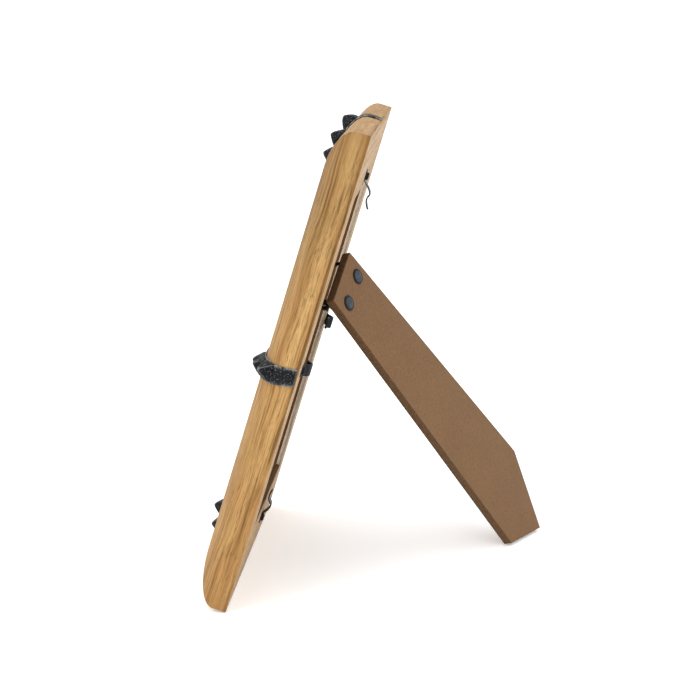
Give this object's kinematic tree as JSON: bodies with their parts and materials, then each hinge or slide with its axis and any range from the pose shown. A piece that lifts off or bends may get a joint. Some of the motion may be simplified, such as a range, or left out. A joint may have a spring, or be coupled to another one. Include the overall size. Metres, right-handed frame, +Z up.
{
  "type": "picture frame",
  "caption": "Table picture frame in oak with a studded iron strap across each rail, a clipped-in back board and a folding diagonal easel strut.",
  "frame": {"origin": "on the table, under the middle of the standing frame and strut", "axes": "+X to the viewer's right when looking at the picture; the picture side faces -Y and the strut stands towards +Y; +Z up"},
  "size_m": [0.2024, 0.1816, 0.2426],
  "materials": {
    "oak": "pale oak veneer and solid oak, clear matt lacquer",
    "board": "bare brown fibreboard",
    "glazing": "clear float glass",
    "card": "plain white card",
    "iron": "hammered black iron with worn grey edges",
    "black_steel": "black painted pressed steel",
    "rivet_steel": "dark slate grey, low sheen",
    "spring_steel": "grey spring steel",
    "nail_steel": "bright cut steel"
  },
  "bodies": {
    "frame": {"top_rail": "oak", "bottom_rail": "oak", "left_rail": "oak", "right_rail": "oak", "corner_nails": "nail_steel", "glass": "glazing", "picture_card": "card", "back_board": "board", "board_hinge_leaf": "black_steel", "board_rivets": "black_steel", "hinge_pin": "nail_steel", "top_strap": "iron", "bottom_strap": "iron", "left_strap": "iron", "right_strap": "iron", "top_studs": "iron", "bottom_studs": "iron", "left_studs": "iron", "right_studs": "iron", "clip_screws": "black_steel"},
    "strut_leg": {"strut": "board", "strut_hinge_leaf": "black_steel", "strut_rivets": "rivet_steel"},
    "top_clip_body": {"top_clip": "spring_steel"},
    "bottom_clip_body": {"bottom_clip": "spring_steel"},
    "left_clip_body": {"left_clip": "spring_steel"},
    "right_clip_body": {"right_clip": "spring_steel"}
  },
  "joints": [
    {"name": "strut_fold", "type": "hinge", "parent": "frame", "child": "strut_leg", "pos_m": [0.0404, -0.01983, 0.15903], "axis": [-0.757, 0.191, 0.6249], "range_deg": [0, 43]},
    {"name": "top_clip_turn", "type": "hinge", "parent": "frame", "child": "top_clip_body", "pos_m": [0.008, -0.00642, 0.21077], "axis": [0, 0.9563, -0.2924], "range_deg": [-90, 90]},
    {"name": "bottom_clip_turn", "type": "hinge", "parent": "frame", "child": "bottom_clip_body", "pos_m": [0.008, -0.06355, 0.02391], "axis": [0, 0.9563, -0.2924], "range_deg": [-90, 90]},
    {"name": "left_clip_turn", "type": "hinge", "parent": "frame", "child": "left_clip_body", "pos_m": [-0.075, -0.03431, 0.11954], "axis": [0, 0.9563, -0.2924], "range_deg": [-90, 90]},
    {"name": "right_clip_turn", "type": "hinge", "parent": "frame", "child": "right_clip_body", "pos_m": [0.075, -0.03431, 0.11954], "axis": [0, 0.9563, -0.2924], "range_deg": [-90, 90]}
  ]
}
